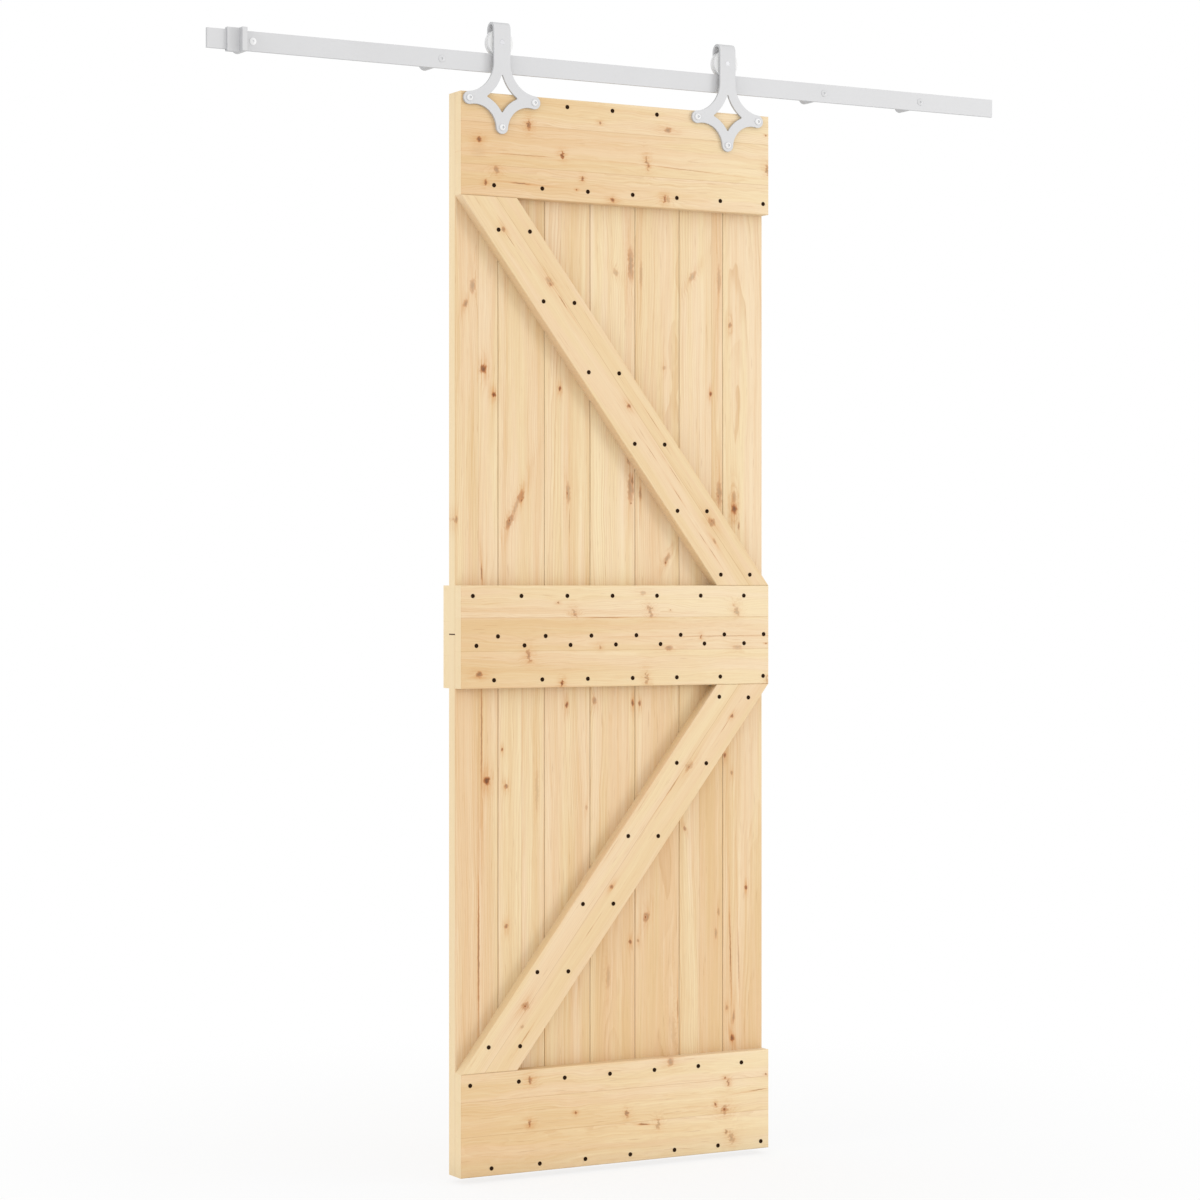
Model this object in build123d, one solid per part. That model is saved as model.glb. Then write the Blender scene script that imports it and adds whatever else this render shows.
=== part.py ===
from build123d import *
import os
from math import hypot, sqrt

# A boarded sliding door that hangs from a flat steel rail on two grooved wheels.
# X runs along the rail, Y points into the wall and Z points up.
# The origin lies on the wall face of the second rail spacer, just below its bolt hole.

# Door leaf
door_width = 700.0
door_height = 2100.0
front_board_thickness = 26.0
plank_thickness = 26.0
back_rail_thickness = 26.0
top_rail_height = 200.0
middle_rail_height = 200.0
bottom_rail_height = 200.0
back_rail_height = 200.0
middle_rail_bottom = 945.0
brace_width = 97.0
board_edge_round = 2.0

# Tongue and groove planks, each in an upper and a lower length
plank_count = 7
plank_pitch = 102.5
plank_joint_height = 1050.0
plank_seam_gap = 0.6
plank_end_gap = 0.6
plank_bevel = 1.2
tongue_thickness = 8.0
tongue_depth = 7.0
tongue_clearance = 0.4

# Steel rail and its spacers
rail_length = 1786.5
rail_height = 37.0
rail_thickness = 6.0
left_spacer_insets = (91.5, 483.5)
right_spacer_insets = (426.0, 186.0)
spacer_diameter = 25.0
spacer_neck_diameter = 16.0
spacer_neck_clearance = 6.0
wall_bolt_hole = 9.0
wall_clearance = 6.0
hang_gap = 40.7
door_offset = 521.5

# End stop clamped on the rail
stop_inset = 38.5
stop_width = 34.0
stop_thickness = 5.0
stop_lip = 3.5
stop_fit = 0.2
stop_tab_width = 10.0
stop_tab_reach = 15.0
stop_edge_bevel = 0.8

# Hangers: a four-pointed plate whose top point is a strap bent over the wheel
left_hanger_inset = 87.0
right_hanger_inset = 100.5
strap_width = 36.0
strap_thickness = 5.0
loop_gap = 20.0
loop_rise = 139.5
back_leg_drop = 14.0
side_bolt_spread = 71.0
side_bolt_drop = 13.0
bottom_bolt_drop = 66.0
tip_radius = 12.5
flare_height = 60.0
lower_arc_radius = 45.5
eye_rise = 41.0
eye_drop = 39.0
eye_corner_round = 2.0

# Hanger bolts
bolt_diameter = 8.0
bolt_clearance = 0.4
bolt_head_diameter = 13.0
bolt_head_height = 3.6
nut_width = 13.0
nut_height = 6.5
bolt_end = 2.0

# Grooved wheels and their axles
groove_radius = 21.5
flange_depth = 5.5
wheel_width = 16.0
groove_side_clearance = 1.0
hub_radius = 9.0
hub_side_clearance = 0.4
wheel_gap = 0.3
axle_diameter = 10.0
axle_clearance = 0.3
axle_fit = 0.1

# Places along X
rail_left = -left_spacer_insets[1]
rail_right = rail_left + rail_length
door_left = rail_left + door_offset
door_right = door_left + door_width
left_hanger_x = door_left + left_hanger_inset
right_hanger_x = door_right - right_hanger_inset
edge_plank_width = (door_width - (plank_count - 2) * plank_pitch) / 2

# Places along Y, from the wall at zero to the front
door_back = -wall_clearance
plank_back = door_back - back_rail_thickness
plank_front = plank_back - plank_thickness
front_face = plank_front - front_board_thickness
wheel_middle = front_face + loop_gap / 2
rail_front = wheel_middle - rail_thickness / 2
rail_back = wheel_middle + rail_thickness / 2

# Places along Z
rail_middle = (spacer_diameter + wall_bolt_hole) / 4
rail_bottom = rail_middle - rail_height / 2
rail_top = rail_middle + rail_height / 2
door_top = rail_bottom - hang_gap
door_bottom = door_top - door_height
top_rail_bottom = door_top - top_rail_height
middle_bottom = door_bottom + middle_rail_bottom
middle_top = middle_bottom + middle_rail_height
bottom_rail_top = door_bottom + bottom_rail_height
axle_height = rail_top + wheel_gap + groove_radius
axle_rise = axle_height - door_top


def along_y(radius, start, end):
    """A round bar along Y on the Y axis, from start to end."""
    bar = Cylinder(radius, end - start, align=(Align.CENTER, Align.CENTER, Align.MIN))
    return Pos(0, start, 0) * Rot(-90, 0, 0) * bar


def block(x_range, y_range, z_range):
    """A box between two places on each axis."""
    size = [high - low for low, high in (x_range, y_range, z_range)]
    centre = [(high + low) / 2 for low, high in (x_range, y_range, z_range)]
    return Pos(*centre) * Box(*size)


def round_front(piece, radius):
    """Rounds every edge of the piece's front face."""
    return fillet(piece.faces().sort_by(Axis.Y)[0].edges(), radius)


def hanger_bolts(hanger_x):
    """The three places where bolts pass through a hanger, as X and Z."""
    side_z = door_top - side_bolt_drop
    return [
        (hanger_x - side_bolt_spread, side_z),
        (hanger_x + side_bolt_spread, side_z),
        (hanger_x, door_top - bottom_bolt_drop),
    ]


def drill(piece, places, diameter, start, end):
    """Cuts round holes along Y at each X and Z place."""
    for x, z in places:
        piece -= Pos(x, 0, z) * along_y(diameter / 2, start, end)
    return piece


def front_board(bottom, top):
    """A horizontal board across the front of the planks, with rounded front edges."""
    piece = block((door_left, door_right), (front_face, plank_front), (bottom, top))
    return round_front(piece, board_edge_round)


def plank_section(left, right, groove, tongue):
    """Section of a plank: bevelled front edges, a groove on the left and a tongue on the right."""
    middle = (plank_front + plank_back) / 2
    slot = tongue_thickness / 2 + tongue_clearance
    slot_end = left + tongue_depth + tongue_clearance
    tongue_end = right + tongue_depth
    half = tongue_thickness / 2
    points = [(left + plank_bevel, plank_front), (left, plank_front + plank_bevel)]
    if groove:
        points += [(left, middle - slot), (slot_end, middle - slot)]
        points += [(slot_end, middle + slot), (left, middle + slot)]
    points += [(left, plank_back), (right, plank_back)]
    if tongue:
        points += [(right, middle + half), (tongue_end, middle + half)]
        points += [(tongue_end, middle - half), (right, middle - half)]
    points += [(right, plank_front + plank_bevel), (right - plank_bevel, plank_front)]
    return make_face(Polyline(*points, close=True))


def plank(index, bottom, top):
    """One length of the plank at this place, counted from the left."""
    first_seam = door_left + edge_plank_width
    groove = index > 0
    tongue = index < plank_count - 1
    left = first_seam + (index - 1) * plank_pitch + plank_seam_gap / 2 if groove else door_left
    right = first_seam + index * plank_pitch - plank_seam_gap / 2 if tongue else door_right
    section = plank_section(left, right, groove, tongue)
    return extrude(Pos(0, 0, bottom) * section, amount=top - bottom)


def brace_foot(rise):
    """Length of a brace's level end cut, for a brace of the set width across this rise."""
    square = brace_width**2
    a = rise**2 - square
    b = square * door_width
    c = square * (door_width**2 + rise**2)
    return (sqrt(b**2 + a * c) - b) / a


def brace(bottom, top, falls_right):
    """A slanting board between two rails, from one side of the door to the other."""
    foot = brace_foot(top - bottom)
    high_left, low_left = (door_left, door_right - foot)
    if not falls_right:
        high_left, low_left = (low_left, high_left)
    corners = [(high_left, top), (low_left, bottom), (low_left + foot, bottom), (high_left + foot, top)]
    board = extrude(Plane.XZ * Polygon(*corners, align=None), amount=front_board_thickness)
    return round_front(Pos(0, plank_front, 0) * board, board_edge_round)


def hanger_outline():
    """Front view of the plate about the strap's centre line and the door's top edge.

    Four points are joined by hollow arcs, and the eye inside follows the same arcs.
    """
    half = strap_width / 2
    reach = side_bolt_spread - half
    rise = flare_height + side_bolt_drop
    side = Vector(side_bolt_spread, -side_bolt_drop)
    low = Vector(0, -bottom_bolt_drop)
    # The upper arc leaves the strap's edge upright and meets the side point's round end.
    upper_radius = (reach**2 + rise**2 - tip_radius**2) / (2 * (reach + tip_radius))
    upper = Vector(half + upper_radius, flare_height)
    # The lower arc meets the round ends of the side point and of the bottom point.
    span = (side - low).length
    away = Vector((side - low).Y, -(side - low).X).normalized()
    centre_gap = sqrt((lower_arc_radius + tip_radius) ** 2 - (span / 2) ** 2)
    lower = (side + low) / 2 + away * centre_gap

    def touch(tip, centre):
        point = tip + (centre - tip).normalized() * tip_radius
        return (point.X, point.Y)

    right = [touch(low, lower), touch(side, lower), (side.X, side.Y)]
    right += [touch(side, upper), (half, flare_height)]
    left = [(-x, y) for x, y in reversed(right)]
    outline = Polygon((low.X, low.Y), *right, *left, align=None)
    eye_points = [(0, eye_rise), (-side.X, side.Y), (0, -eye_drop), (side.X, side.Y)]
    eye = Polygon(*eye_points, align=None)
    eye_upper = hypot(upper.X, upper.Y - eye_rise)
    eye_lower = hypot(lower.X, lower.Y + eye_drop)
    for way in (1, -1):
        outline -= Pos(way * upper.X, upper.Y) * Circle(upper_radius)
        outline -= Pos(way * lower.X, lower.Y) * Circle(lower_arc_radius)
        eye -= Pos(way * upper.X, upper.Y) * Circle(eye_upper)
        eye -= Pos(way * lower.X, lower.Y) * Circle(eye_lower)
    for x in (side.X, -side.X):
        outline += Pos(x, side.Y) * Circle(tip_radius)
    outline += Pos(low.X, low.Y) * Circle(tip_radius)
    return outline - fillet(eye.vertices(), eye_corner_round)


def hanger_strap():
    """The strap: its section carried up, over the wheel in a half circle, and down behind."""
    middle = strap_thickness / 2
    section = Pos(0, -middle, flare_height) * Rectangle(strap_width, strap_thickness)
    bend = loop_gap / 2 + middle
    spring = loop_rise - bend - middle
    start = (0, -middle, flare_height)
    rise = (0, -middle, spring)
    crown = (0, bend - middle, spring + bend)
    fall = (0, loop_gap + middle, spring)
    end = (0, loop_gap + middle, axle_rise - back_leg_drop)
    return sweep(section, path=Line(start, rise) + ThreePointArc(rise, crown, fall) + Line(fall, end))


def hanger(hanger_x):
    """One hanger: the plate, and the strap that bends over the wheel and down behind it."""
    plate = extrude(Plane.XZ * hanger_outline(), amount=strap_thickness)
    piece = Pos(hanger_x, front_face, door_top) * (plate + hanger_strap())
    front = front_face - strap_thickness
    back = front_face + loop_gap + strap_thickness
    hole = bolt_diameter + 2 * bolt_clearance
    piece = drill(piece, hanger_bolts(hanger_x), hole, front - 1, front_face + 1)
    axle_hole = axle_diameter + 2 * axle_fit
    return drill(piece, [(hanger_x, axle_height)], axle_hole, front - 1, back + 1)


def bolt():
    """A flat-headed bolt along Y with its nut, seated at zero under its head."""
    head = bolt_head_diameter / 2
    shank = bolt_diameter / 2
    clamp = strap_thickness + front_board_thickness + plank_thickness
    end = clamp + nut_height + bolt_end
    points = [(0, -bolt_head_height), (head, -bolt_head_height), (head, 0)]
    points += [(shank, 0), (shank, end), (0, end)]
    nut = extrude(Plane.XZ * RegularPolygon(nut_width / 2, 6, major_radius=False), amount=nut_height)
    turned = revolve(make_face(Polyline(*points, close=True)), Axis.Y)
    return turned + Pos(0, clamp + nut_height, 0) * nut


def wheel():
    """A wheel about Y with a groove that rides on the rail's top edge and a hub between the straps."""
    bore = axle_diameter / 2 + axle_clearance
    flange = groove_radius + flange_depth
    groove = rail_thickness / 2 + groove_side_clearance
    face = wheel_width / 2
    hub = loop_gap / 2 - hub_side_clearance
    half = [(bore, hub), (hub_radius, hub), (hub_radius, face), (flange, face)]
    half += [(flange, groove), (groove_radius, groove)]
    other = [(r, -y) for r, y in reversed(half)]
    return revolve(make_face(Polyline(*half, *other, close=True)), Axis.Y)


def spacer():
    """A turned spacer about Y: a wide foot on the wall and a neck that the loops pass over."""
    bore = wall_bolt_hole / 2
    neck = spacer_neck_diameter / 2
    foot = spacer_diameter / 2
    shoulder = front_face + loop_gap + strap_thickness + spacer_neck_clearance
    points = [(bore, rail_back), (neck, rail_back), (neck, shoulder)]
    points += [(foot, shoulder), (foot, 0), (bore, 0)]
    return revolve(make_face(Polyline(*points, close=True)), Axis.Y)


def end_stop():
    """A clamp over the rail's front with a tab at its inner end that the strap runs against."""
    left = rail_left + stop_inset
    right = left + stop_width
    grip_bottom, grip_top = (rail_bottom - stop_fit, rail_top + stop_fit)
    low, high = (grip_bottom - stop_lip, grip_top + stop_lip)
    front = rail_front - stop_thickness
    piece = block((left, right), (front, rail_back), (low, high))
    piece -= block((left - 1, right + 1), (rail_front, rail_back + 1), (grip_bottom, grip_top))
    tab = block((right - stop_tab_width, right), (front - stop_tab_reach, front), (low, high))
    piece += tab
    return chamfer(piece.edges().filter_by(Axis.X).group_by(Axis.Y)[0], stop_edge_bevel)


os.makedirs("parts", exist_ok=True)


def save(piece, name):
    export_step(piece, f"parts/{name}.step")


# Rail, spacers and stop
spacer_places = [rail_left + inset for inset in left_spacer_insets]
spacer_places += [rail_right - inset for inset in right_spacer_insets]
wall_bolts = [(x, rail_middle) for x in spacer_places]
rail = block((rail_left, rail_right), (rail_front, rail_back), (rail_bottom, rail_top))
save(drill(rail, wall_bolts, wall_bolt_hole, rail_front - 1, rail_back + 1), "rail")
for number, (x, z) in enumerate(wall_bolts, start=1):
    save(Pos(x, 0, z) * spacer(), f"spacer_{number}")
save(end_stop(), "end_stop")

# Planks
all_bolts = hanger_bolts(left_hanger_x) + hanger_bolts(right_hanger_x)
bolt_hole = bolt_diameter + 2 * bolt_clearance
joint = door_bottom + plank_joint_height
for index in range(plank_count):
    upper = plank(index, joint + plank_end_gap / 2, door_top)
    box = upper.bounding_box()
    near = [(x, z) for x, z in all_bolts if box.min.X - bolt_hole < x < box.max.X + bolt_hole]
    save(drill(upper, near, bolt_hole, plank_front - 1, plank_back + 1), f"upper_plank_{index + 1}")
    save(plank(index, door_bottom, joint - plank_end_gap / 2), f"lower_plank_{index + 1}")

# Boards across the front and the back
top_rail = front_board(top_rail_bottom, door_top)
save(drill(top_rail, all_bolts, bolt_hole, front_face - 1, plank_front + 1), "top_rail")
save(front_board(middle_bottom, middle_top), "middle_rail")
save(front_board(door_bottom, bottom_rail_top), "bottom_rail")
back_middle = (middle_bottom + middle_top) / 2
back_z = (back_middle - back_rail_height / 2, back_middle + back_rail_height / 2)
back_rail = block((door_left, door_right), (plank_back, door_back), back_z)
save(fillet(back_rail.faces().sort_by(Axis.Y)[-1].edges(), board_edge_round), "back_middle_rail")
save(brace(middle_top, top_rail_bottom, True), "upper_brace")
save(brace(bottom_rail_top, middle_bottom, False), "lower_brace")

# Hangers with their bolts, wheels and axles
axle_front = front_face - strap_thickness
axle_back = front_face + loop_gap + strap_thickness
for side, x in (("left", left_hanger_x), ("right", right_hanger_x)):
    save(hanger(x), f"{side}_hanger")
    bolts = [Pos(bolt_x, axle_front, z) * bolt() for bolt_x, z in hanger_bolts(x)]
    save(Compound(children=bolts), f"{side}_hanger_bolts")
    save(Pos(x, 0, axle_height) * along_y(axle_diameter / 2, axle_front, axle_back), f"{side}_axle")
    save(Pos(x, wheel_middle, axle_height) * wheel(), f"{side}_wheel")
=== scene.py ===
import math
import bpy
import numpy as np
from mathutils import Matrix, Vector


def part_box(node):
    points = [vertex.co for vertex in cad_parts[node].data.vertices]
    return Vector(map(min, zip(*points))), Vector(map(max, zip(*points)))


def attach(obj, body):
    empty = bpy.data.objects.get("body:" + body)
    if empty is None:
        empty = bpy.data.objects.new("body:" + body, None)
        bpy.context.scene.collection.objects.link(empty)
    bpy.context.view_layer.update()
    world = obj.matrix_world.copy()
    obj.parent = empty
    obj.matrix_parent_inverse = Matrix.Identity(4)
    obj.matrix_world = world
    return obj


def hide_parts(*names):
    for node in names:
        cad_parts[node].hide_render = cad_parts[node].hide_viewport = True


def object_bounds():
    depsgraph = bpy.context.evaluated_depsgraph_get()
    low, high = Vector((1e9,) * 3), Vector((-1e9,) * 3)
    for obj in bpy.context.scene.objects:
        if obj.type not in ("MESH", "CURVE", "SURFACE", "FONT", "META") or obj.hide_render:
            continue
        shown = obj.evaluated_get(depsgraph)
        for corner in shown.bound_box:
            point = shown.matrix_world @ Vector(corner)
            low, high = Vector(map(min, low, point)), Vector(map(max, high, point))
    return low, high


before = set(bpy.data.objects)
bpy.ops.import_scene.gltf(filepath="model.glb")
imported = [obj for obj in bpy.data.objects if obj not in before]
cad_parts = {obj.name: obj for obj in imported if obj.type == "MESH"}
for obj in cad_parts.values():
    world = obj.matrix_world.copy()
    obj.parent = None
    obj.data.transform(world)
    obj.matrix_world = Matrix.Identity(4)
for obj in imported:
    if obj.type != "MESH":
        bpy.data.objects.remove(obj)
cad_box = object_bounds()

# Planks
# The leaf's core is fourteen tongued and grooved pine planks in two lengths, planed and left bare.
# Each is cut from its own tree, so it has its own rings, tone and knots, and some are glued from two strips.


def place_node(tree, kind, inputs=(), **settings):
    """Adds a shader node, with inputs given by place or by name as values or as sockets to link."""
    node = tree.nodes.new("ShaderNode" + kind)
    for name, value in settings.items():
        setattr(node, name, value)
    pairs = inputs.items() if isinstance(inputs, dict) else enumerate(inputs)
    for key, value in pairs:
        if isinstance(value, bpy.types.NodeSocket):
            tree.links.new(value, node.inputs[key])
        else:
            node.inputs[key].default_value = value
    return node


def calc(tree, operation, *values):
    """The result of one sum on numbers or sockets."""
    return place_node(tree, "Math", values, operation=operation).outputs[0]


def calc_vector(tree, operation, *values):
    """The vector that one sum on vectors gives."""
    return place_node(tree, "VectorMath", values, operation=operation).outputs["Vector"]


def fade(tree, value, start, end):
    """Goes smoothly from 0 where the value is at start to 1 where it is at end."""
    inputs = (value, start, end, 0.0, 1.0)
    return place_node(tree, "MapRange", inputs, interpolation_type="SMOOTHSTEP").outputs[0]


def mix_colour(tree, factor, first, second, blend="MIX"):
    """The first colour with the second laid over it."""
    inputs = {0: factor, 6: first, 7: second}
    return place_node(tree, "Mix", inputs, data_type="RGBA", blend_type=blend).outputs[2]


def noise(tree, place, scale, detail, roughness=0.5):
    """Soft noise about one half; place is a vector socket and scale a number for each axis."""
    stretched = calc_vector(tree, "MULTIPLY", place, scale)
    inputs = {"Vector": stretched, "Scale": 1.0, "Detail": detail, "Roughness": roughness}
    return place_node(tree, "TexNoise", inputs)


def open_group(name, inputs, outputs):
    """A new shader group with these sockets, named with their kinds, and its input sockets."""
    tree = bpy.data.node_groups.new(name, "ShaderNodeTree")
    for way, sockets in (("INPUT", inputs), ("OUTPUT", outputs)):
        for label, kind in sockets.items():
            tree.interface.new_socket(label, in_out=way, socket_type="NodeSocket" + kind)
    return tree, tree.nodes.new("NodeGroupInput").outputs


def close_group(tree, results):
    """Links a group's results to its outputs."""
    ends = tree.nodes.new("NodeGroupOutput")
    for label, socket in results.items():
        tree.links.new(socket, ends.inputs[label])


def shade(red, green, blue):
    """A colour written as on a paint chart, 0 to 255, as the light that it reflects."""
    chart = np.array([red, green, blue]) / 255
    light = np.where(chart <= 0.04045, chart / 12.92, ((chart + 0.055) / 1.055) ** 2.4)
    return (*light.tolist(), 1.0)


def make_knot_group():
    """One branch cut across by the board.

    Its distance is measured from its centre, over its radius across the grain and its radius times
    its stretch along it. The rings bend round it by a bell curve that reaches further along the grain.
    """
    ragged = (1.7, 0.0, 1.7)
    fall_across, fall_along = -0.36, -0.09
    bend_share = 0.9
    carried = {"Bend": "Float", "Knot": "Float", "Heart": "Float", "Halo": "Float"}
    sizes = {"Board": "Vector", "Wobble": "Vector", "Centre": "Vector", "Radius": "Float"}
    sizes |= {"Stretch": "Float", "Tilt": "Float", "Dark": "Float"}
    tree, given = open_group("knot", sizes | carried, carried)
    away = calc_vector(tree, "SUBTRACT", given["Board"], given["Centre"])
    swing = {"Vector": away, "Angle": given["Tilt"]}
    turned = place_node(tree, "VectorRotate", swing, rotation_type="Y_AXIS").outputs[0]
    wobble = place_node(tree, "VectorMath", {0: given["Wobble"], 3: given["Radius"]}, operation="SCALE")
    moved = calc_vector(tree, "MULTIPLY_ADD", wobble.outputs["Vector"], ragged, turned)
    parts = place_node(tree, "SeparateXYZ", (moved,)).outputs
    across = calc(tree, "DIVIDE", parts["X"], given["Radius"])
    along = calc(tree, "DIVIDE", parts["Z"], calc(tree, "MULTIPLY", given["Radius"], given["Stretch"]))
    across_square = calc(tree, "MULTIPLY", across, across)
    along_square = calc(tree, "MULTIPLY", along, along)
    distance = calc(tree, "SQRT", calc(tree, "ADD", across_square, along_square))
    knot = calc(tree, "MULTIPLY", fade(tree, distance, 1.25, 0.65), given["Dark"])
    fall = calc(tree, "MULTIPLY", along_square, fall_along)
    bell = calc(tree, "EXPONENT", calc(tree, "MULTIPLY_ADD", across_square, fall_across, fall))
    bend = calc(tree, "MULTIPLY", calc(tree, "MULTIPLY", bell, given["Radius"]), bend_share)
    inside = fade(tree, distance, 1.3, 1.1)
    heart = place_node(tree, "Mix", {0: inside, 2: given["Heart"], 3: distance}).outputs[0]
    halo = calc(tree, "MULTIPLY", bell, given["Dark"])
    close_group(tree, {
        "Bend": calc(tree, "ADD", given["Bend"], bend),
        "Knot": calc(tree, "MAXIMUM", given["Knot"], knot),
        "Heart": heart,
        "Halo": calc(tree, "MAXIMUM", given["Halo"], halo),
    })
    return tree


def make_glue_group():
    """A glued joint along the grain.

    Past its place the strip's number and tone step up. A fine line marks it.
    """
    line_outer, line_inner = 0.0009, 0.0002
    carried = {"Strip": "Float", "Line": "Float", "Tone": "Float"}
    sizes = {"Board": "Vector", "Place": "Float", "Step": "Float"}
    tree, given = open_group("glue joint", sizes | carried, carried)
    across = place_node(tree, "SeparateXYZ", (given["Board"],)).outputs["X"]
    past = calc(tree, "GREATER_THAN", across, given["Place"])
    gap = calc(tree, "ABSOLUTE", calc(tree, "SUBTRACT", across, given["Place"]))
    close_group(tree, {
        "Strip": calc(tree, "ADD", given["Strip"], past),
        "Line": calc(tree, "MAXIMUM", given["Line"], fade(tree, gap, line_outer, line_inner)),
        "Tone": calc(tree, "MULTIPLY_ADD", past, given["Step"], given["Tone"]),
    })
    return tree


def make_pine_group():
    """Bare pine as a solid: rings round a pith that lies behind the board and sways along it.

    A point's ring is its distance from the pith, plus a taper along the grain and the knots' bend,
    over the ring width. Each ring goes from pale to dark and back at once, strongly in some bands and
    hardly in others. Streaks and fibres are noise drawn out along the grain. Knots are laid over them,
    darkest at their hearts. Faces that face to the left and right are made paler as painted light, a thin
    dark line is painted shade in the gap at the planks' ends, the tone can slope along the board as
    painted shade, and nooks between boards are made darker as painted shade.
    """
    pith_depth = 0.07
    pith_spread = (0.36, 0.05, 0.0)
    sway_reach = (0.03, 0.03, 0.0)
    taper = 0.011
    ring_width = 0.0034
    bands_per_metre = 46.0
    strip_spread = 0.6
    band_share, streak_share, fibre_share = 2.2, 2.5, 3.1
    thread_depth = 0.12
    duct_strength = 0.25
    glue_strength = 0.4
    painted_side_light_share = 0.72
    shade_line_outer, shade_line_inner = 0.0016, 0.0004
    nook_reach = 0.07
    nook_depth = 0.26
    sapwood = shade(246, 225, 184)
    rosy = shade(246, 223, 188)
    heartwood = shade(230, 195, 145)
    blush = shade(233, 197, 151)
    latewood = shade(208, 158, 102)
    resin = shade(186, 128, 76)
    halo_tint = shade(213, 149, 84)
    knot_pale = shade(188, 114, 56)
    knot_dark = shade(112, 63, 29)
    glue_tint = shade(196, 150, 100)
    painted_gap_shade = shade(96, 66, 40)
    half = (0.5, 0.5, 0.5)
    sizes = {"Board": "Vector", "Seed": "Float", "EndShade": "Float", "Tone": "Float", "Strip": "Float"}
    sizes |= {"Line": "Float", "Rings": "Float", "Wave": "Float", "ShadeSlope": "Float"}
    knots = {"Bend": "Float", "Knot": "Float", "Heart": "Float", "Halo": "Float"}
    results = {"Color": "Color", "Roughness": "Float", "Height": "Float"}
    tree, given = open_group("pine", sizes | knots, results)

    tree_number = calc(tree, "MULTIPLY_ADD", given["Strip"], 1.37, given["Seed"])
    chance = place_node(tree, "TexWhiteNoise", {"W": tree_number}, noise_dimensions="1D").outputs["Color"]
    chances = place_node(tree, "SeparateXYZ", (chance,)).outputs
    centred = calc_vector(tree, "SUBTRACT", chance, half)
    pith = calc_vector(tree, "MULTIPLY_ADD", centred, pith_spread, (0, pith_depth, 0))
    far_apart = calc_vector(tree, "MULTIPLY", chance, (37.0, 53.0, 41.0))
    own = calc_vector(tree, "ADD", given["Board"], far_apart)
    sway = calc_vector(tree, "SUBTRACT", noise(tree, own, (4.0, 4.0, 1.2), 1.0).outputs["Color"], half)
    ripple = calc_vector(tree, "SUBTRACT", noise(tree, own, (28.0, 28.0, 7.0), 2.0).outputs["Color"], half)
    wavy = {0: ripple, 3: given["Wave"]}
    wander = place_node(tree, "VectorMath", wavy, operation="SCALE").outputs["Vector"]
    wander = calc_vector(tree, "MULTIPLY_ADD", sway, sway_reach, wander)
    flow = calc_vector(tree, "ADD", own, wander)
    arm = calc_vector(tree, "ADD", calc_vector(tree, "SUBTRACT", given["Board"], pith), wander)
    flat = calc_vector(tree, "MULTIPLY", arm, (1.0, 1.0, 0.0))
    radius = place_node(tree, "VectorMath", (flat,), operation="LENGTH").outputs["Value"]
    height = place_node(tree, "SeparateXYZ", (given["Board"],)).outputs["Z"]
    radius = calc(tree, "MULTIPLY_ADD", height, taper, radius)
    radius = calc(tree, "ADD", radius, given["Bend"])

    years = calc(tree, "DIVIDE", radius, ring_width)
    season = calc(tree, "FRACT", years)
    year = calc(tree, "MULTIPLY_ADD", tree_number, 9.1, calc(tree, "FLOOR", years))
    weather = place_node(tree, "TexWhiteNoise", {"W": year}, noise_dimensions="1D").outputs["Value"]
    late = calc(tree, "SUBTRACT", fade(tree, season, 0.3, 0.9), fade(tree, season, 0.94, 1.0))
    late = calc(tree, "MULTIPLY", late, calc(tree, "MULTIPLY_ADD", weather, 0.75, 0.25))
    plain = noise(tree, flow, (22.0, 22.0, 0.9), 1.0).outputs["Fac"]
    late = calc(tree, "MULTIPLY", late, calc(tree, "MULTIPLY_ADD", fade(tree, plain, 0.35, 0.65), 0.8, 0.2))
    band_start = calc(tree, "MULTIPLY", tree_number, 21.0)
    band_place = calc(tree, "MULTIPLY_ADD", radius, bands_per_metre, band_start)
    band = place_node(tree, "TexNoise", {"W": band_place, "Scale": 1.0, "Detail": 2.0}, noise_dimensions="1D")
    streak = noise(tree, flow, (70.0, 70.0, 1.1), 2.0).outputs["Fac"]
    fibre = noise(tree, flow, (330.0, 330.0, 4.0), 3.0, 0.6).outputs["Fac"]
    thread = noise(tree, own, (1900.0, 1900.0, 40.0), 2.0, 0.6).outputs["Fac"]
    duct = fade(tree, noise(tree, own, (330.0, 330.0, 17.0), 1.0).outputs["Fac"], 0.68, 0.78)

    stripes = calc(tree, "MULTIPLY", calc(tree, "SUBTRACT", chances["Z"], 0.5), strip_spread)
    parts = ((band.outputs["Fac"], band_share), (streak, streak_share), (fibre, fibre_share))
    for part, share in parts:
        stripes = calc(tree, "MULTIPLY_ADD", calc(tree, "SUBTRACT", part, 0.5), share, stripes)
    # Painted shade: the tone slopes along the board, so that it darkens towards one end.
    old = calc(tree, "MULTIPLY_ADD", height, given["ShadeSlope"], given["Tone"])
    old = calc(tree, "MULTIPLY_ADD", stripes, given["Rings"], old)
    drift = fade(tree, noise(tree, flow, (26.0, 26.0, 1.6), 2.0).outputs["Fac"], 0.4, 0.6)
    pale = mix_colour(tree, drift, sapwood, rosy)
    ripe = mix_colour(tree, drift, heartwood, blush)
    colour = mix_colour(tree, fade(tree, old, -0.15, 1.15), pale, ripe)
    colour = mix_colour(tree, calc(tree, "MULTIPLY", late, given["Rings"]), colour, latewood)
    grey = calc(tree, "MULTIPLY_ADD", thread, thread_depth, 1 - thread_depth / 2)
    greys = place_node(tree, "CombineXYZ", (grey, grey, grey)).outputs[0]
    colour = mix_colour(tree, 1.0, colour, greys, "MULTIPLY")
    colour = mix_colour(tree, calc(tree, "MULTIPLY", duct, duct_strength), colour, resin)
    colour = mix_colour(tree, calc(tree, "MULTIPLY", given["Line"], glue_strength), colour, glue_tint)
    # Painted light: faces that face to the left and right are mixed towards the pale sapwood colour.
    normal = place_node(tree, "NewGeometry").outputs["Normal"]
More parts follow.
